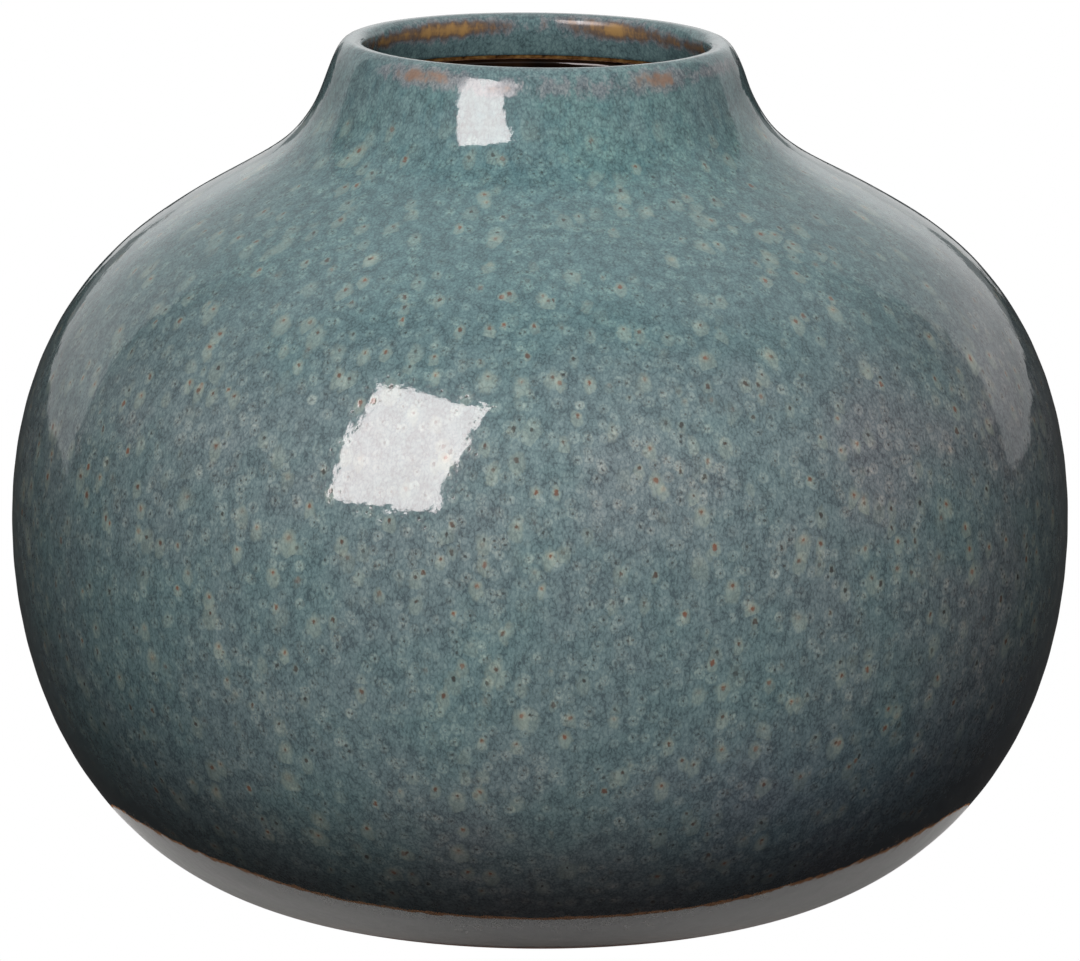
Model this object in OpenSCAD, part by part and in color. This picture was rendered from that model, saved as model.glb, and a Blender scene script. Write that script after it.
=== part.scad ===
// Squat glazed stoneware flower vase, turned about +Z, standing on its foot ring at z = 0.
// It is built as it was potted: a fired clay body, an iron undercoat and a reactive top coat
// fused to the outside and over the lip, and a dark liner glaze fused to the inside.
// Every coat is the same outline, shifted into the wall by its own depth.

/* [Body] */
// Largest outside diameter, at the belly
belly_d = 200.4; // [180:0.1:220]
// Height of the widest line above the table
belly_h = 72.8; // [68:0.1:78]
// Overall height, to the crest of the lip
height = 164.5; // [158:0.5:172]
// Outside diameter where the shoulder turns over into the neck
shoulder_d = 146; // [140:1:152]
// Height of that turn
shoulder_h = 129.2; // [126:0.1:132]
// Thickness of the wall, from outside skin to inside skin
wall = 5; // [4:0.1:6]

/* [Neck] */
// Outside diameter at the top of the neck, under the lip
neck_d = 79.5; // [76:0.1:84]
// Diameter of the lip's crest
lip_d = 70.1; // [68:0.1:72]
// Height of the rounded lip above the top of the neck
lip_h = 7.5; // [6:0.1:8]
// Lean of the neck's wall from upright at its top, in degrees
neck_lean = 19; // [14:1:24]

/* [Foot] */
// Outside diameter of the turned foot ring
foot_d = 95; // [90:1:100]
// Diameter that the glaze starts from, over the foot ring
glazed_foot_d = 101.7; // [98:0.1:108]
// Width of the ring that meets the table
foot_ring_w = 5; // [4:0.5:8]
// Depth of the hollow turned inside the ring
foot_hollow = 2.6; // [1.5:0.1:3]
// Height of the bare clay left under the glaze
bare_h = 0.7; // [0.5:0.1:1.5]
// Height of the inside of the floor above the table
floor_h = 8; // [7:0.1:10]

/* [Glaze] */
// Thickness of the reactive top coat
top_coat = 0.6; // [0.4:0.05:0.8]
// Thickness of the iron undercoat
undercoat = 0.3; // [0.25:0.05:0.4]
// Thickness of the liner glaze
liner = 0.5; // [0.4:0.05:0.8]
// Width of undercoat left showing under the top coat at the foot
foot_line = 0.5; // [0.3:0.1:1]
// Width of undercoat left showing under the top coat inside the mouth
mouth_line = 1.1; // [0.6:0.1:2]
// How far the top coat runs down inside the mouth from the crest, along the wall
mouth_run = 10.2; // [6:0.1:14]

/* [Hidden] */
$fn = 180;

foot_r = foot_d / 2;
foot_rise = 13.5; // degrees that the body climbs as it leaves the foot
shoulder_turn = 145.4; // heading of the outline over the shoulder, in degrees from +X
coats = undercoat + top_coat; // depth of the clay's surface under the outline
edge = 0.4; // chamfer on the foot ring's edges
hollow_fillet = 2; // round inside the foot ring
floor_join = 14; // height on the outside where the inner wall starts to round into the floor

// A station is [radius, height, heading in degrees, reach before it, reach after it].
// The reaches say how far the curve keeps to the heading, as a share of the chord.
foot_start = [glazed_foot_d / 2, bare_h, foot_rise, 0, 0.386];
belly = [belly_d / 2, belly_h, 90, 0.39, 0.365];
shoulder = [shoulder_d / 2, shoulder_h, shoulder_turn, 0.365, 0.5];
neck = [neck_d / 2, height - lip_h, 90 + neck_lean, 0.38, 0.55];
crest = [lip_d / 2, height, 180, 0.2, 0.55];

// A path is a list of [radius, height, direction's radius part, direction's height part].
function unit(angle) = [cos(angle), sin(angle)];
function place(p) = [p[0], p[1]];
function way(p) = [p[2], p[3]];
function point(at, dir) = [at[0], at[1], dir[0], dir[1]];
function backwards(list) = [for (i = [len(list) - 1:-1:0]) list[i]];

// Points along one cubic curve between two stations, without the last.
function curve(from, to, steps) =
    let (
        a = place(from),
        d = place(to),
        chord = norm(d - a),
        b = a + from[4] * chord * unit(from[2]),
        c = d - to[3] * chord * unit(to[2])
    )
    [for (i = [0:steps - 1])
        let (
            t = i / steps,
            u = 1 - t,
            at = u * u * u * a + 3 * u * u * t * b + 3 * u * t * t * c + t * t * t * d,
            slope = u * u * (b - a) + 2 * u * t * (c - b) + t * t * (d - c)
        )
        point(at, slope / norm(slope))
    ];

// A point moved into the wall, which lies on the left of the path.
function inward(p, depth) = place(p) + depth * [-p[3], p[2]];
function shifted(path, depth) = [for (p = path) inward(p, depth)];
function turned_back(p, depth) = point(inward(p, depth), -way(p));
function as_station(p, reach_out) = [p[0], p[1], atan2(p[3], p[2]), 0, reach_out];

// Distance along the path to each of its points.
function distances(path) =
    [for (i = 0, s = 0; i < len(path);
        s = s + (i + 1 < len(path) ? norm(place(path[i + 1]) - place(path[i])) : 0), i = i + 1) s];

// The point that lies a distance along the path.
function at_distance(path, far, x) =
    let (
        i = max([for (k = [0:len(far) - 2]) if (far[k] <= x) k]),
        share = (x - far[i]) / (far[i + 1] - far[i])
    )
    path[i] + share * (path[i + 1] - path[i]);

// The stretch of a path between two distances along it.
function stretch(path, far, from, to) = concat(
    [at_distance(path, far, from)],
    [for (i = [0:len(path) - 1]) if (far[i] > from + 0.01 && far[i] < to - 0.01) path[i]],
    [at_distance(path, far, to)]
);

outside = concat(
    curve(foot_start, belly, 40),
    curve(belly, shoulder, 30),
    curve(shoulder, neck, 26)
);
lip_outside = curve(neck, crest, 10);
inner_top = turned_back(point(place(neck), unit(neck[2])), wall);
mouth = [inner_top[0], inner_top[1], atan2(inner_top[3], inner_top[2]), 0.4, 0];
lip_inside = concat(curve(crest, mouth, 12), [inner_top]);
inner_wall = [for (p = backwards(outside)) if (p[1] > floor_join) turned_back(p, wall)];
floor_edge = as_station(inner_wall[len(inner_wall) - 1], 0.36);
floor_middle = [0, floor_h, 180, 0.4, 0];
inner_floor = concat(curve(floor_edge, floor_middle, 24), [point(place(floor_middle), [-1, 0])]);
kept_wall = [for (i = [0:len(inner_wall) - 2]) inner_wall[i]];

// The whole skin, from the glaze's edge at the foot, over the lip, to the middle of the floor.
skin = concat(outside, lip_outside, lip_inside, kept_wall, inner_floor);
skin_far = distances(skin);
crest_far = skin_far[len(outside) + len(lip_outside)];
top_end = crest_far + mouth_run;
undercoat_end = top_end + mouth_line;
skin_end = skin_far[len(skin) - 1];

// A coat of glaze between two depths, along one stretch of the skin.
module coat(from, to, depth_out, depth_in) {
    run = stretch(skin, skin_far, from, to);
    rotate_extrude() polygon(concat(shifted(run, depth_out), backwards(shifted(run, depth_in))));
}

// Quarter round in the corner between the hollow and the inside of the ring.
function hollow_corner() =
    [for (a = [0:15:90])
        [foot_r - foot_ring_w - hollow_fillet + hollow_fillet * sin(a),
            foot_hollow - hollow_fillet + hollow_fillet * cos(a)]
    ];

// Fired stoneware: wall, floor, lip core and turned foot ring, in one piece.
module clay_body() {
    underside = concat(
        [[0, foot_hollow]],
        hollow_corner(),
        [
            [foot_r - foot_ring_w, edge],
            [foot_r - foot_ring_w + edge, 0],
            [foot_r - edge, 0],
            [foot_r, edge]
        ]
    );
    color("sienna") rotate_extrude() polygon(concat(shifted(skin, coats), underside));
}

// Iron-rich coat on the outside of the clay, left showing as a thin line at each end.
module undercoat_glaze() {
    color("saddlebrown") coat(0, undercoat_end, top_coat, coats);
}

// Blue-green top coat, over the outside and the lip.
module reactive_glaze() {
    color("cadetblue") coat(foot_line, top_end, 0, top_coat);
}

// Dark glossy coat that seals the inside.
module liner_glaze() {
    color("#1c130c") coat(undercoat_end, skin_end, coats - liner, coats);
}

clay_body();
undercoat_glaze();
reactive_glaze();
liner_glaze();
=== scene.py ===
import math

import bmesh
import bpy
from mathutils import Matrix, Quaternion, Vector, noise
from mathutils.geometry import interpolate_bezier


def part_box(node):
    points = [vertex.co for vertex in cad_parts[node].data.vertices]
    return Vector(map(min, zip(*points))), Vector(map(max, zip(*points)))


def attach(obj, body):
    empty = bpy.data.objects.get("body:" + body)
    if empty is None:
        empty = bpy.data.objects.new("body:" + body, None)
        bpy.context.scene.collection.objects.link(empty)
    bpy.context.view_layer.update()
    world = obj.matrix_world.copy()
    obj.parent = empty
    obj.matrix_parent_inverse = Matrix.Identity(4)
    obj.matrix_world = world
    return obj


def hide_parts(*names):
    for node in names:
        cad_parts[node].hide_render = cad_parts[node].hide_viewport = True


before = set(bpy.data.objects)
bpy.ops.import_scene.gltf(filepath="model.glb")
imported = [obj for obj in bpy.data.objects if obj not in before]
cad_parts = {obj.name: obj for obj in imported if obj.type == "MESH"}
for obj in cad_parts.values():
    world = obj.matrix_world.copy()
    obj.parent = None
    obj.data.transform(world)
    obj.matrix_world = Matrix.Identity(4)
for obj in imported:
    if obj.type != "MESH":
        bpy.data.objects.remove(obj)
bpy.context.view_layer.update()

mm = 0.001

# ---- Clay body ---------------------------------------------------------------------------------
# Fired reddish-brown stoneware, thrown in one piece: floor, wall, neck and the core of the lip.
# The foot ring was turned when the clay was leather-hard, and it is the only clay left bare.
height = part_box("reactive_glaze")[1].z
belly_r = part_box("reactive_glaze")[1].x - 0.2 * mm
foot_r = 47.5 * mm
glazed_foot_r = 50.85 * mm
wall = 5 * mm
coats = 0.9 * mm  # depth of the clay under the glazed skin
bare = 0.7 * mm  # height of the bare clay under the glaze
floor_top = 8 * mm
floor_join = 14 * mm  # where the inner wall starts to round into the floor
foot_ring_w = 5 * mm
foot_hollow = 2.6 * mm
turns = 300  # steps round the vase

# A station on the outline: radius, height, heading in degrees, reach before it and after it.
foot_start = (glazed_foot_r, bare, 13.5, 0, 0.386)
belly = (belly_r, 72.8 * mm, 90, 0.39, 0.365)
shoulder = (73 * mm, 129.2 * mm, 145.4, 0.365, 0.5)
neck = (39.75 * mm, height - 7.5 * mm, 109, 0.38, 0.55)
crest = (35.05 * mm, height, 180, 0.2, 0.55)
mouth = (neck[0] - 4.73 * mm, neck[1] - 1.63 * mm, -71, 0.4, 0)


def heading(degrees):
    return Vector((math.cos(math.radians(degrees)), 0, math.sin(math.radians(degrees))))


def curve(start, end, steps):
    a = Vector((start[0], 0, start[1]))
    d = Vector((end[0], 0, end[1]))
    chord = (d - a).length
    b = a + heading(start[2]) * chord * start[4]
    c = d - heading(end[2]) * chord * end[3]
    return interpolate_bezier(a, b, c, d, steps + 1)[:-1]


def sunk(path, depth):
    """The path moved into the wall, which lies on its left."""
    moved = []
    for i, p in enumerate(path):
        along = (path[min(i + 1, len(path) - 1)] - path[max(i - 1, 0)]).normalized()
        moved.append(p + Vector((-along.z, 0, along.x)) * depth)
    return moved


outside = curve(foot_start, belly, 84) + curve(belly, shoulder, 50) + curve(shoulder, neck, 34)
over_lip = curve(neck, crest, 12) + curve(crest, mouth, 14)
inner_wall = [p for p in reversed(sunk(outside, wall)) if p.z > floor_join]
floor_edge = (inner_wall[-1].x, inner_wall[-1].z, 225, 0, 0.36)
inner_floor = curve(floor_edge, (0, floor_top, 180, 0.4, 0), 30) + [Vector((0, 0, floor_top))]
skin = outside + over_lip + inner_wall[:-1] + inner_floor
crest_at = len(outside) + 12
skin_far = [0]
for before, after in zip(skin, skin[1:]):
    skin_far.append(skin_far[-1] + (after - before).length)
crest_far = skin_far[crest_at]


def stretch(start, end):
    """The skin between two distances along it, measured from the glaze's edge at the foot."""
    kept = []
    for i, far in enumerate(skin_far[1:], 1):
        for cut in (start, end):
            if skin_far[i - 1] <= cut < far:
                kept.append(skin[i - 1].lerp(skin[i], (cut - skin_far[i - 1]) / (far - skin_far[i - 1])))
        if start < far < end:
            kept.append(skin[i])
    return kept


# How the potter's hands and the drying left it a little off true.
ring_pitch = 7.5 * mm  # throwing rings
ring_depth = 0.02 * mm
swell_depth = 0.14 * mm
pinch_depth = 0.04 * mm
firm = 12 * mm  # height over which the flat foot holds the wall true
neck_foot = 118 * mm  # where the neck starts to sit off centre
neck_rise = 40 * mm
neck_shift = 0.6 * mm
neck_sag = 0.5 * mm
neck_tilt = 0.45 * mm  # the lip's drop on one side and rise on the other
lip_r = 37 * mm


def by_hand(p):
    """Where a point of the true lathe form ends up on the hand-thrown vase."""
    r = math.hypot(p.x, p.y)
    if r < 1e-7:
        return p
    around = math.atan2(p.y, p.x)
    lean = max(0, min(1, (p.z - neck_foot) / neck_rise))
    lean = lean * lean * (3 - 2 * lean)
    ring = math.sin(2 * math.pi * p.z / ring_pitch + around)
    swell = noise.noise(p * 22) * swell_depth + noise.noise(p * 60 + Vector((7, 1, 3))) * pinch_depth
    grip = min(1, max(0, p.z / firm))
    out = (swell + ring * ring_depth) * grip
    q = Vector((p.x, p.y, 0)) * (1 + out / r)
    q.x -= neck_shift * lean
    q.z = p.z - lean * (neck_sag + neck_tilt * p.x / lip_r)
    return q


weld = 0.001 * mm


def turn_on_wheel(name, outline, closed):
    """A quarter turn of the outline, mirrored twice. Each point keeps how many millimetres of skin lie
    between it and the crest, which is less than 0 outside."""
    bm = bmesh.new()
    from_crest = bm.verts.layers.float.new("from_crest")
    points = [bm.verts.new(p) for p in outline]
    for v in points:
        nearest = min(range(len(skin)), key=lambda i: (skin[i] - v.co).length_squared)
        v[from_crest] = (skin_far[nearest] - crest_far) / mm
    edges = [bm.edges.new(pair) for pair in zip(points, points[1:])]
    if closed:
        edges.append(bm.edges.new((points[-1], points[0])))
    bmesh.ops.spin(bm, geom=points + edges, cent=(0, 0, 0), axis=(0, 0, 1), dvec=(0, 0, 0),
                   angle=math.pi / 2, steps=turns // 4, use_merge=False, use_duplicate=False)
    for side in ("X", "Y"):
        whole = bm.verts[:] + bm.edges[:] + bm.faces[:]
        bmesh.ops.mirror(bm, geom=whole, axis=side, merge_dist=weld)
    bmesh.ops.remove_doubles(bm, verts=bm.verts, dist=weld)
    bmesh.ops.delete(bm, geom=[e for e in bm.edges if e.is_wire], context="EDGES")
    for v in bm.verts:
        v.co = by_hand(v.co)
    bmesh.ops.recalc_face_normals(bm, faces=bm.faces)
    for face in bm.faces:
        face.smooth = True
    mesh = bpy.data.meshes.new(name)
    bm.to_mesh(mesh)
    bm.free()
    piece = bpy.data.objects.new(name, mesh)
    bpy.context.scene.collection.objects.link(piece)
    return piece


class Dip:
    """One value in a recipe's tree of shader nodes. Arithmetic on it adds the nodes."""

    def __init__(self, socket, tree):
        self.socket = socket
        self.tree = tree

    def node(self, kind, settings=(), out=0, **inputs):
        """Any node, its settings first, then the values or links of its sockets, by name or as i0, i1."""
        made = self.tree.nodes.new(kind)
        for key, value in dict(settings).items():
            if key == "stops":
                ramp = made.color_ramp.elements
                while len(ramp) < len(value):
                    ramp.new(0.5)
                for stop, (place, tint) in zip(ramp, value):
                    stop.position = place
                    stop.color = (*tint, 1)
            else:
                setattr(made, key, value)
        for key, value in inputs.items():
            where = made.inputs[int(key[1:]) if key[1:].isdigit() else key.replace("_", " ")]
            if isinstance(value, Dip):
                self.tree.links.new(value.socket, where)
            else:
                where.default_value = value
        return Dip(made.outputs[out], self.tree)

    def also(self, out):
        """Another output of the same node."""
        return Dip(self.socket.node.outputs[out], self.tree)

    def maths(self, operation, a, b=0.0, c=0.0):
        return self.node("ShaderNodeMath", {"operation": operation}, i0=a, i1=b, i2=c)

    def __add__(self, other):
        return self.maths("ADD", self, other)

    def __radd__(self, other):
        return self.maths("ADD", other, self)

    def __sub__(self, other):
        return self.maths("SUBTRACT", self, other)

    def __rsub__(self, other):
        return self.maths("SUBTRACT", other, self)

    def __mul__(self, other):
        return self.maths("MULTIPLY", self, other)

    def __rmul__(self, other):
        return self.maths("MULTIPLY", other, self)

    def __abs__(self):
        return self.maths("ABSOLUTE", self)

    def __pow__(self, other):
        return self.maths("POWER", self, other)

    def fade(self, low, high):
        """0 at low and 1 at high, eased between them and level beyond. Low may be the larger one."""
        return self.node("ShaderNodeMapRange", {"interpolation_type": "SMOOTHSTEP"},
                         Value=self, From_Min=low, From_Max=high)

    def vector(self, operation, a, b=(0, 0, 0), out=0):
        return self.node("ShaderNodeVectorMath", {"operation": operation}, out, i0=a, i1=b)

    def scaled(self, by):
        return self.node("ShaderNodeVectorMath", {"operation": "SCALE"}, i0=self, Scale=by)

    def tinted(self, tint, how_much, blend="MIX"):
        """This colour with another laid over it."""
        return self.node("ShaderNodeMix", {"data_type": "RGBA", "blend_type": blend}, 2,
                         i0=how_much, i6=self, i7=tint)

    def bump(self, tall, under=None):
        """A raised surface from this height, with tall metres for a height of 1."""
        inputs = {"Height": self, "Distance": tall, "Strength": 1.0}
        if under is not None:
            inputs["Normal"] = under
        return self.node("ShaderNodeBump", {}, **inputs)


def recipe(name):
    """A new finish: its shader node, and the place on the piece in millimetres."""
    finish = bpy.data.materials.new(name)
    finish.use_nodes = True
    tree = finish.node_tree
    shader = tree.nodes["Principled BSDF"]
    start = Dip(None, tree)
    place = start.node("ShaderNodeTexCoord", out="Object").scaled(1000)
    return finish, shader, place


def fire(piece, finish, shader, **inputs):
    """Sets what the finish feeds the shader, and gives the finish to the piece."""
    for key, value in inputs.items():
        where = shader.inputs[key.replace("_", " ")]
        if isinstance(value, Dip):
            value.tree.links.new(value.socket, where)
        else:
            where.default_value = value
    piece.data.materials.append(finish)


# The hollow under the floor, its round corner, and the ring that meets the table.
ring_r = foot_r - foot_ring_w
foot_profile = [Vector((r, 0, z)) for r, z in (
    (0, foot_hollow), (14 * mm, foot_hollow), (28 * mm, foot_hollow), (ring_r - 2 * mm, foot_hollow),
    (ring_r - 0.9 * mm, foot_hollow - 0.3 * mm), (ring_r - 0.3 * mm, foot_hollow - 0.9 * mm),
    (ring_r, 0.6 * mm), (ring_r + 0.3 * mm, 0.1 * mm), (ring_r + 0.8 * mm, 0), (foot_r - foot_ring_w / 2, 0),
    (foot_r - 0.8 * mm, 0), (foot_r - 0.3 * mm, 0.12 * mm), (foot_r - 0.05 * mm, 0.5 * mm))]
clay_skin = sunk(skin, coats)[:-1:2] + [Vector((0, 0, floor_top - coats))]
clay = turn_on_wheel("clay_body_fired", foot_profile + clay_skin, False)
stoneware, shader, place = recipe("bare_stoneware")
grog = place.node("ShaderNodeTexNoise", Vector=place, Scale=1.6, Detail=4.0)
cloud = place.node("ShaderNodeTexNoise", Vector=place, Scale=0.12, Detail=3.0)
clay_tint = grog.node("ShaderNodeValToRGB", {"stops": (
    (0.3, (0.20, 0.085, 0.05)), (0.5, (0.42, 0.21, 0.14)), (0.72, (0.55, 0.32, 0.22)))}, Fac=grog)
clay_tint = clay_tint.tinted((0.30, 0.14, 0.09, 1), cloud.fade(0.45, 0.65))
fire(clay, stoneware, shader, Base_Color=clay_tint, Roughness=0.75,
     Normal=grog.bump(0.08 * mm))
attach(clay, "root")
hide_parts("clay_body")

# ---- Iron undercoat ----------------------------------------------------------------------------
# A thin iron-rich coat brushed over the outside, the lip and the top of the mouth.
# It shows as a brown line where the top coat ends, at the foot and inside the mouth.
top_coat = 0.6 * mm
undercoat_thick = coats - top_coat
mouth_run = 10.2 * mm  # how far the top coat runs down inside the mouth
mouth_line = 1.1 * mm  # undercoat left showing below it
top_end = crest_far + mouth_run
undercoat_end = top_end + mouth_line


def coat_outline(start, end, depth, thickness):
    """A closed outline: one stretch of skin, a rounded edge, the stretch under it, another edge."""
    bulge = thickness * 0.4
    run = stretch(start, end)
    outer = sunk(run, depth)
    inner = sunk(run, depth + thickness)
    middle = sunk(run, depth + thickness / 2)
    nose_end = middle[-1] + (run[-1] - run[-2]).normalized() * bulge
    nose_start = middle[0] + (run[0] - run[1]).normalized() * bulge
    hidden = inner[-1:0:-2]  # the fused side needs fewer steps
    return outer + [nose_end] + hidden + [inner[0], nose_start]


undercoat = turn_on_wheel("iron_undercoat", coat_outline(0, undercoat_end, top_coat, undercoat_thick), True)
iron_glaze, shader, place = recipe("iron_glaze")
break_up = place.node("ShaderNodeTexNoise", Vector=place, Scale=0.7, Detail=5.0)
iron_tint = break_up.node("ShaderNodeValToRGB", {"stops": (
    (0.32, (0.07, 0.030, 0.012)), (0.5, (0.28, 0.135, 0.045)), (0.68, (0.46, 0.26, 0.09)))}, Fac=break_up)
fire(undercoat, iron_glaze, shader, Base_Color=iron_tint, Roughness=0.18, Normal=break_up.bump(0.06 * mm))
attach(undercoat, "root")
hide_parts("undercoat_glaze")

# ---- Reactive top coat -------------------------------------------------------------------------
# A thick blue-green glaze that boiled in the kiln: a fine mottle, pits with pale rings, and bigger
# pale blots with iron cores. It runs thin over the lip, where the iron under it breaks through rust.
foot_line = 0.5 * mm  # undercoat left showing at the foot
top_glaze = turn_on_wheel("reactive_top_coat", coat_outline(foot_line, top_end, 0, top_coat), True)
# Where the glaze ran thin over the lip: degrees round from the front, millimetres from the crest
# (outside is less than 0), how far it spreads each way, and how strong it is.
lip_reach = 12  # millimetres of skin, each way from the crest, that can be thin
thin_places = (
    (-35, -3.6, 12, 1.8, 0.95), (-12, -5.4, 5, 1.2, 0.5), (10, -4.6, 28, 2.2, 0.42),
    (36, -4.1, 8, 2.0, 0.85), (62, -3.8, 16, 1.4, 0.5), (-150, 4.2, 19, 1.9, 1.1),
    (-115, 4.6, 26, 1.3, 0.8), (154, 4.0, 17, 1.9, 1.05), (115, 4.8, 26, 1.3, 0.8),
    (171, 2.3, 8, 1.1, 0.45), (88, -5, 16, 1.2, 0.35), (-95, -4, 18, 1.4, 0.4),
    (-170, -4.5, 20, 1.5, 0.7), (140, -4, 14, 1.3, 0.6))
thin = top_glaze.data.attributes.new("thin", "FLOAT", "POINT")
from_crest = top_glaze.data.attributes["from_crest"]
for v, to_crest, how_thin in zip(top_glaze.data.vertices, from_crest.data, thin.data):
    if abs(to_crest.value) < lip_reach:
        around = math.degrees(math.atan2(v.co.x, -v.co.y))
        for azimuth, middle, wide, tall, strength in thin_places:
            off = ((around - azimuth + 180) % 360 - 180) / wide
            along = (to_crest.value - middle) / tall
            how_thin.value += strength * math.exp(-off * off - along * along)


def scatter(place, cell, deep, shift):
    """Centres strewn over the surface, about a cell apart. Gives how far the nearest one is along the
    surface, how far down the slope from it this place lies, how fully it counts (centres further than
    deep from the surface do not), and three chance numbers that belong to it."""
    at = place.vector("ADD", place, shift)
    nearest = at.node("ShaderNodeTexVoronoi", {}, "Position", Vector=at, Scale=1 / cell, Randomness=0.9)
    outwards = at.node("ShaderNodeTexCoord", out="Normal")
    way = at.vector("SUBTRACT", nearest, at)
    depth = at.vector("DOT_PRODUCT", way, outwards, 1)
    way = at.vector("SUBTRACT", way, outwards.scaled(depth))
    lean = at.node("ShaderNodeSeparateXYZ", out="Z", Vector=outwards)
    up_slope = at.vector("NORMALIZE", at.vector("SUBTRACT", (0, 0, 1), outwards.scaled(lean)))
    below = at.vector("DOT_PRODUCT", way, up_slope, 1)
    away = at.vector("LENGTH", way, out=1)
    chance = at.node("ShaderNodeSeparateColor", out=0, Color=nearest.also("Color"))
    return away, below, abs(depth).fade(deep, deep * 0.75), chance, chance.also(1), chance.also(2)


reactive, shader, place = recipe("reactive_blue_green_glaze")
right = place.node("ShaderNodeSeparateXYZ", out="X", Vector=place)
tall = right.also("Z")
to_crest = place.node("ShaderNodeAttribute", {"attribute_name": "from_crest"}, "Fac")
thinness = place.node("ShaderNodeAttribute", {"attribute_name": "thin"}, "Fac")

# The melt dragged everything downhill a little, so its small pattern is read from squashed places.
dragged = place.vector("MULTIPLY", place, (1, 1, 0.6))
wander = place.node("ShaderNodeTexNoise", out="Color", Vector=place, Scale=0.9, Detail=2.0)
curdled = place.vector("ADD", dragged, place.vector("SUBTRACT", wander, (0.5, 0.5, 0.5)).scaled(1.1))
vein = place.node("ShaderNodeTexVoronoi", {"feature": "DISTANCE_TO_EDGE"}, "Distance", Vector=curdled,
                  Scale=1.15)
grain = place.node("ShaderNodeTexNoise", Vector=dragged, Scale=2.3, Detail=2.0, Roughness=0.6)
patch = place.node("ShaderNodeTexNoise", Vector=dragged, Scale=0.5, Detail=2.0)
cloud = place.node("ShaderNodeTexNoise", Vector=place, Scale=0.045, Detail=3.0)
drift = place.node("ShaderNodeTexNoise", Vector=place.vector("ADD", place, (300, 0, 90)), Scale=0.022,
                   Detail=2.0)
streak = place.node("ShaderNodeTexNoise", Vector=place.vector("MULTIPLY", place, (1, 1, 0.3)),
                    Scale=0.55, Detail=3.0)

curds = vein.fade(0.0, 0.22) * 0.28 + grain.fade(0.3, 0.7) * 0.38 + patch.fade(0.3, 0.7) * 0.34
tint = curds.node("ShaderNodeValToRGB", {"stops": (
    (0.12, (0.062, 0.093, 0.102)), (0.42, (0.098, 0.149, 0.157)), (0.62, (0.123, 0.187, 0.193)),
    (0.92, (0.164, 0.235, 0.238)))}, Fac=curds)

# Teal where the glaze lies thin on the neck, deeper on the shoulder, dull violet low on one side.
neckward = tall.fade(112, 150)
lowdown = tall.fade(66, 18)
tint = tint.tinted((1.10, 0.99, 1.0, 1), (1 - neckward) * cloud.fade(0.38, 0.62), "MULTIPLY")
tint = tint.tinted((1.12, 1.06, 1.06, 1), tall.fade(78, 94) * tall.fade(120, 100), "MULTIPLY")
tint = tint.tinted((0.68, 0.84, 0.86, 1), tall.fade(96, 132) * tall.fade(156, 142), "MULTIPLY")
tint = tint.tinted((1.09, 1.14, 1.14, 1), neckward, "MULTIPLY")
violet = (drift * 0.7 + right * 0.0022 + lowdown * 0.2).fade(0.38, 0.68)
tint = tint.tinted((1.13, 0.94, 0.96, 1), violet * (1 - neckward), "MULTIPLY")
dark_streak = tall.fade(126, 152) * streak.fade(0.48, 0.66) * to_crest.fade(2, -1)
tint = tint.tinted((0.66, 0.80, 0.86, 1), dark_streak * 0.5, "MULTIPLY")
tint = tint.tinted((1.0, 1.07, 1.03, 1), tall.fade(126, 152) * cloud.fade(0.5, 0.7), "MULTIPLY")

# Small pale rings left by bubbles that healed, most of them with a dark prick in the middle.
pitted = tall.fade(157, 146)
dimples = 0
for cell, shift in ((2.3, (3, 11, 40)), (2.9, (57, 5, 17))):
    away, _, near, chance, chance2, _ = scatter(place, cell, 0.8, shift)
    away = away + (grain - 0.5) * 0.55
    size = chance * 0.35 + 0.62
    ring = abs(away - size).fade(0.38, 0.08) * 0.75 + away.fade(size + 0.1, 0.2) * 0.6
    strong = near * pitted * chance2.fade(0.15, 0.8)
    tint = tint.tinted((1.68, 1.50, 1.38, 1), ring * strong * 0.68, "MULTIPLY")
    prick = (away + (patch - 0.5) * 0.3).fade(0.32, 0.12) * strong
    tint = tint.tinted((0.50, 0.42, 0.40, 1), prick * 0.8, "MULTIPLY")
    dimples = dimples + prick

# Larger pale blots. An iron speck at the head of each bled rust and left a pale tail below it.
crowd = place.node("ShaderNodeTexNoise", Vector=place, Scale=0.07, Detail=2.0)
for cell, size, shift in ((4.6, 1.05, (21, 64, 8)), (6.3, 1.35, (70, 2, 33))):
    away, below, near, chance, chance2, chance3 = scatter(place, cell, 1.25, shift)
    size = size * (0.62 + chance * 0.8)
    drawn = away * away - below * below + ((below - size * 0.6) * 0.66) ** 2
    halo = drawn ** 0.5 + (grain - 0.5) * 1.0 + (patch - 0.5) * 1.9
    wanted = near * pitted * (chance2 + crowd * 1.5 - 0.75).fade(0.2, 0.5)
    body = halo.fade(size * 1.2, size * 0.7) * wanted * (0.5 + chance3 * 0.5)
    tint = tint.tinted((1.95, 1.62, 1.42, 1), body * 0.5, "MULTIPLY")
    tint = tint.tinted((0.230, 0.295, 0.262, 1), body * 0.42)
    warm = (away + (grain - 0.5) * 0.5).fade(size * 0.8, 0.15) * wanted * chance3.fade(0.25, 0.85)
    tint = tint.tinted((1.40, 0.95, 0.75, 1), warm * 0.55, "MULTIPLY")
    trail = away - below.fade(0, size) * 0.4  # the speck runs a little way down the slope
    speck = (trail + (patch - 0.5) * 0.9 + (grain - 0.5) * 0.6).fade(0.46, 0.14) * wanted
    speck = speck * chance2.fade(0.25, 0.5)
    iron = place.node("ShaderNodeValToRGB", {"stops": (
        (0.2, (0.034, 0.026, 0.024)), (0.5, (0.075, 0.034, 0.024)),
        (0.9, (0.17, 0.056, 0.032)))}, Fac=chance3)
    tint = tint.tinted(iron, speck * 0.78)
    dimples = dimples + speck

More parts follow.
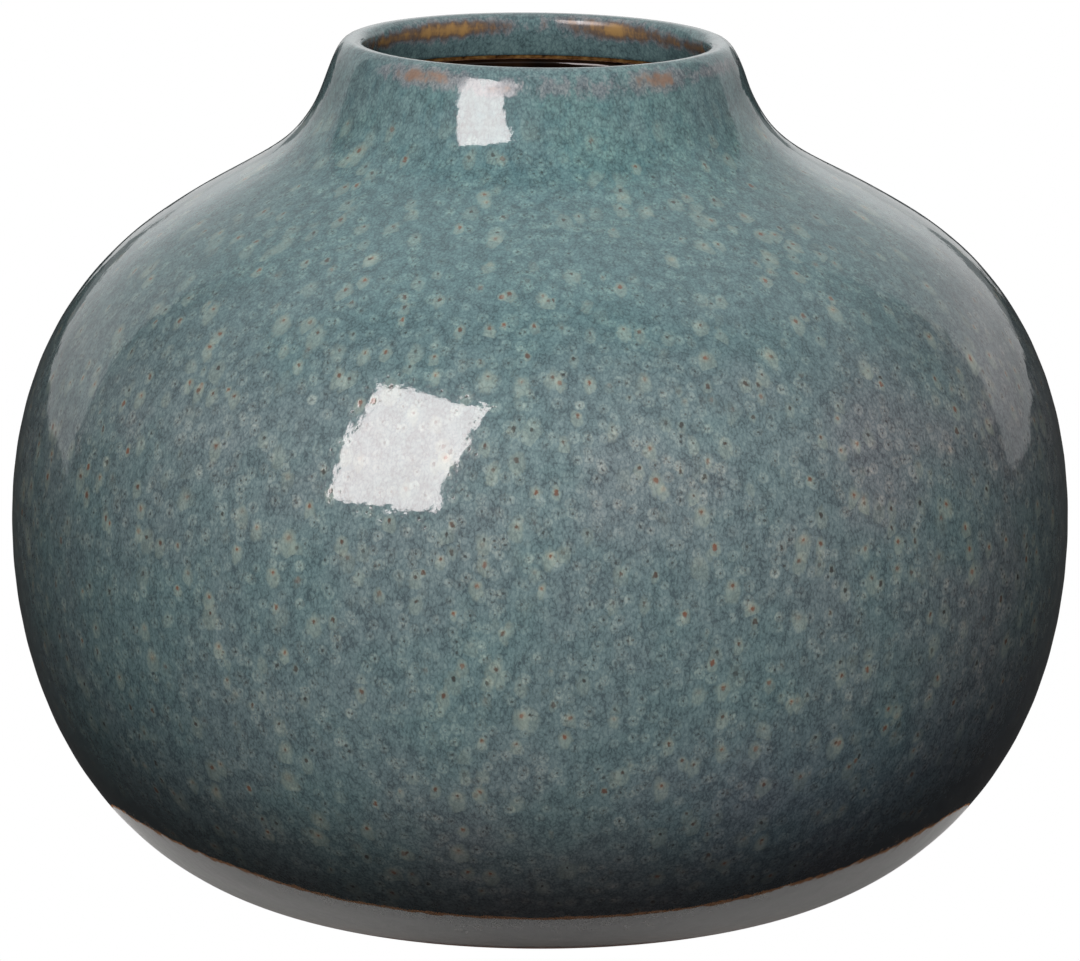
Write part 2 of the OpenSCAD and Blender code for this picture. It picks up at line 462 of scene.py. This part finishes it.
# Painted shade: the coat is made darker low down, most of all at the sides where the belly turns away from
# the front lights; low on the right it is also made darker and cooler; and it is darkest towards the bottom,
# where the belly faces down to the table.
tint = tint.tinted((0.72, 0.75, 0.77, 1), tall.fade(72, 36) * abs(right).fade(35, 80), "MULTIPLY")
tint = tint.tinted((0.80, 0.84, 0.92, 1), tall.fade(60, 30) * right.fade(0, 50), "MULTIPLY")
tint = tint.tinted((0.40, 0.35, 0.36, 1), tall.fade(46, 12), "MULTIPLY")

# Over the lip the coat thins: a dusky edge first, then rust, and ochre inside where it is barely there.
# A salmon line of bare clay is left at the foot.
broken = thinness + (streak - 0.5) * 1.3 + (patch - 0.5) * 0.9 + (grain - 0.5) * 0.6
inside = to_crest.fade(1, 3)
tint = tint.tinted((1.42, 0.98, 1.0, 1), broken.fade(0.1, 0.45) * thinness.fade(0.02, 0.2), "MULTIPLY")
tint = tint.tinted((0.27, 0.135, 0.07, 1), broken.fade(0.5, 1.15) * thinness.fade(0.2, 0.5) * 0.7)
tint = tint.tinted((0.115, 0.068, 0.042, 1), (broken * inside).fade(0.35, 0.7) * 0.7)
tint = tint.tinted((0.40, 0.235, 0.085, 1), (broken * inside).fade(0.62, 1.25) * (0.55 + streak * 0.5))
tint = tint.tinted((0.46, 0.22, 0.15, 1), (tall + (patch - 0.5) * 1.5).fade(3.2, 1.8) * 0.9)

# The skin stays nearly flat, with faint waves and orange peel, and a dimple at each burst bubble.
wave = place.node("ShaderNodeTexNoise", Vector=place, Scale=0.16, Detail=2.0)
peel = place.node("ShaderNodeTexNoise", Vector=place, Scale=0.7, Detail=2.0)
above_foot = tall.fade(10, 26)
surface = (wave * 2.0 + (peel * 0.26 + curds * 0.012) * above_foot).bump(0.05 * mm)
surface = (1 - dimples * above_foot).bump(0.006 * mm, surface)
roughness = 0.045 + curds.fade(0.5, 0.1) * 0.03 + broken.fade(0.15, 0.7) * 0.25 + tall.fade(3.2, 1.8) * 0.6
fire(top_glaze, reactive, shader, Base_Color=tint, IOR=1.6, Normal=surface, Roughness=roughness)
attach(top_glaze, "root")
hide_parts("reactive_glaze")

# ---- Liner glaze -------------------------------------------------------------------------------
# A dark brown, glassy glaze poured in and swilled round, which makes the inside hold water.
liner_depth = 0.4 * mm  # how far its face lies under the skin
almost = 1e-6  # the outline stops this short of the middle, which is added exactly
inside_run = stretch(undercoat_end, skin_far[-1] - almost)
floor_middle = [Vector((0, 0, floor_top - liner_depth)), Vector((0, 0, floor_top - coats))]
liner_outline = sunk(inside_run, liner_depth)[:-1] + floor_middle + sunk(inside_run, coats)[-2::-3]
liner = turn_on_wheel("dark_liner_glaze", liner_outline, True)
tenmoku, shader, place = recipe("dark_liner")
pool = place.node("ShaderNodeTexNoise", Vector=place, Scale=0.15, Detail=4.0)
liner_tint = pool.node("ShaderNodeValToRGB", {"stops": (
    (0.35, (0.004, 0.002, 0.001)), (0.7, (0.02, 0.009, 0.004)))}, Fac=pool)
fire(liner, tenmoku, shader, Base_Color=liner_tint, Roughness=0.08, Normal=pool.bump(0.1 * mm))
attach(liner, "root")
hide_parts("liner_glaze")

# ---- Studio ------------------------------------------------------------------------------------
# A white table that only the camera sees, and a pale turntable under the foot that only the glaze
# mirrors. One soft box at the front left, a soft fill from the front, and a pale tent round it all.
def panel(name, size, rise):
    bm = bmesh.new()
    bmesh.ops.create_circle(bm, cap_ends=True, segments=96, radius=size)
    bmesh.ops.translate(bm, verts=bm.verts, vec=(0, 0, rise))
    mesh = bpy.data.meshes.new(name)
    bm.to_mesh(mesh)
    bm.free()
    made = bpy.data.objects.new(name, mesh)
    bpy.context.scene.collection.objects.link(made)
    return made


table = panel("table", 12, -0.2 * mm)
white = bpy.data.materials.new("white_table")
white.use_nodes = True
glow = white.node_tree.nodes["Principled BSDF"]
glow.inputs["Base Color"].default_value = (0, 0, 0, 1)
glow.inputs["Specular IOR Level"].default_value = 0
glow.inputs["Emission Color"].default_value = (1, 1, 1, 1)
glow.inputs["Emission Strength"].default_value = 1
table.data.materials.append(white)
table.visible_diffuse = False
table.visible_glossy = False
table.visible_transmission = False
table.visible_shadow = False

# The turntable's top glows with painted light: dim in the middle, as if shaded by the vase, and brighter
# towards both sides, as if lit from there. Its edge is a thin brown line round it.
turntable_set_back = 25 * mm
for name, size, rise, card in (("turntable", 93, -0.1, (0.90, 0.88, 0.86, 1)),
                               ("turntable_edge", 94, -0.15, (0.62, 0.27, 0.10, 1))):
    top = panel(name, size * mm, rise * mm)
    for v in top.data.vertices:
        v.co.y += turntable_set_back
    board, shader, place = recipe(name)
    lit = (0, 0, 0, 1)
    if name == "turntable":
        # Painted light: the top's glow, dim in the middle, brightest some 40 mm out to each side, fading
        # further out.
        sideways = abs(place.node("ShaderNodeSeparateXYZ", out="X", Vector=place))
        painted_side_light = sideways.fade(3, 40) * (1 - sideways.fade(48, 85) * 0.55)
        lit = place.node("ShaderNodeMix", {"data_type": "RGBA"}, 2, i0=painted_side_light,
                         i6=(0.02, 0.021, 0.021, 1), i7=(0.130, 0.127, 0.122, 1))
    fire(top, board, shader, Base_Color=card, Roughness=0.8, Emission_Color=lit, Emission_Strength=1.0)
    top.visible_camera = False
    top.visible_diffuse = False

aim = Vector((0, 0, height / 2))


def softbox(name, azimuth, elevation, away, wide, tall, roll, glow):
    """A lit rectangle that faces the vase. Angles are degrees from the front and above the table."""
    a = math.radians(azimuth)
    e = math.radians(elevation)
    towards = Vector((math.sin(a) * math.cos(e), -math.cos(a) * math.cos(e), math.sin(e)))
    lamp = bpy.data.lights.new(name, "AREA")
    lamp.shape = "RECTANGLE"
    lamp.size = wide
    lamp.size_y = tall
    lamp.energy = glow * wide * tall * math.pi  # watts for a surface this many times white
    made = bpy.data.objects.new(name, lamp)
    made.location = aim + towards * away
    turned = towards.to_track_quat("Z", "Y") @ Quaternion((0, 0, 1), math.radians(roll))
    made.rotation_euler = turned.to_euler()
    made.visible_camera = False
    bpy.context.scene.collection.objects.link(made)
    return made


key_box = softbox("key_box", azimuth=-32, elevation=32, away=1.0, wide=0.41, tall=0.66, roll=-5, glow=10.0)
key_box.data.color = (1, 0.90, 0.89)
key_box.visible_diffuse = False
fill = softbox("front_fill", azimuth=-5, elevation=24, away=0.65, wide=0.4, tall=0.36, roll=0, glow=8.9)
fill.visible_glossy = False

world = bpy.data.worlds.new("tent")
bpy.context.scene.world = world
world.use_nodes = True
sky = world.node_tree
start = Dip(None, sky)
way = start.node("ShaderNodeTexCoord", out="Generated")
right = start.node("ShaderNodeSeparateXYZ", out="X", Vector=way)
rear = right.also("Y")
up = right.also("Z")
front = rear * -1
# The tent hangs lower at the back. A back wall stands from the table's level up, and a strip of
# white paper comes down from it in the middle. All else is the dark floor of the room.
tent_low = 0.267 + front * 0.268
in_tent = (up - tent_low).fade(-0.01, 0.01)
tent = 0.20 + up.fade(0.4, 0.9) * 0.7 * (0.25 + 0.75 * front.fade(0.12, -0.3))
wall_low = rear * 0.1 - 0.073 + rear.fade(0.91, 0.96) * 0.07
on_wall = rear.fade(0.57, 0.60) * (up - wall_low).fade(-0.006, 0.006)
back_wall = 0.45 + up.fade(0.04, 0.24) * (0.30 + right * 0.06) + rear.fade(0.84, 1.0) * 0.38
paper = abs(right).fade(0.21, 0.19) * (up + 0.06).fade(-0.01, 0.01) * rear.fade(0.8, 0.9) * 0.75
dark_room = 0.03
strength = dark_room + in_tent * tent * (1 - on_wall) + back_wall * on_wall
strength = strength.maths("MAXIMUM", strength, paper)
seen = start.node("ShaderNodeLightPath", out="Is Camera Ray")
strength = strength * (1 - seen) + seen
sky.links.new(strength.socket, sky.nodes["Background"].inputs["Strength"])
sky.nodes["Background"].inputs["Color"].default_value = (1, 1, 1, 1)

camera = bpy.data.cameras.new("camera")
camera.lens = 352  # on a sensor 36 mm wide, so the whole vase fills the frame from 2 m
camera.sensor_width = 36
camera.clip_start = 0.1
camera.clip_end = 100
viewer = bpy.data.objects.new("camera", camera)
tilt = math.radians(10.9)
away = 2.0
looks_at = height / 2 - 2.6 * mm
back = Vector((0, -math.cos(tilt), math.sin(tilt)))
viewer.location = Vector((0, 0, looks_at)) + back * away
viewer.rotation_euler = back.to_track_quat("Z", "Y").to_euler()
bpy.context.scene.collection.objects.link(viewer)
bpy.context.scene.camera = viewer
bpy.context.scene.view_settings.view_transform = "Standard"
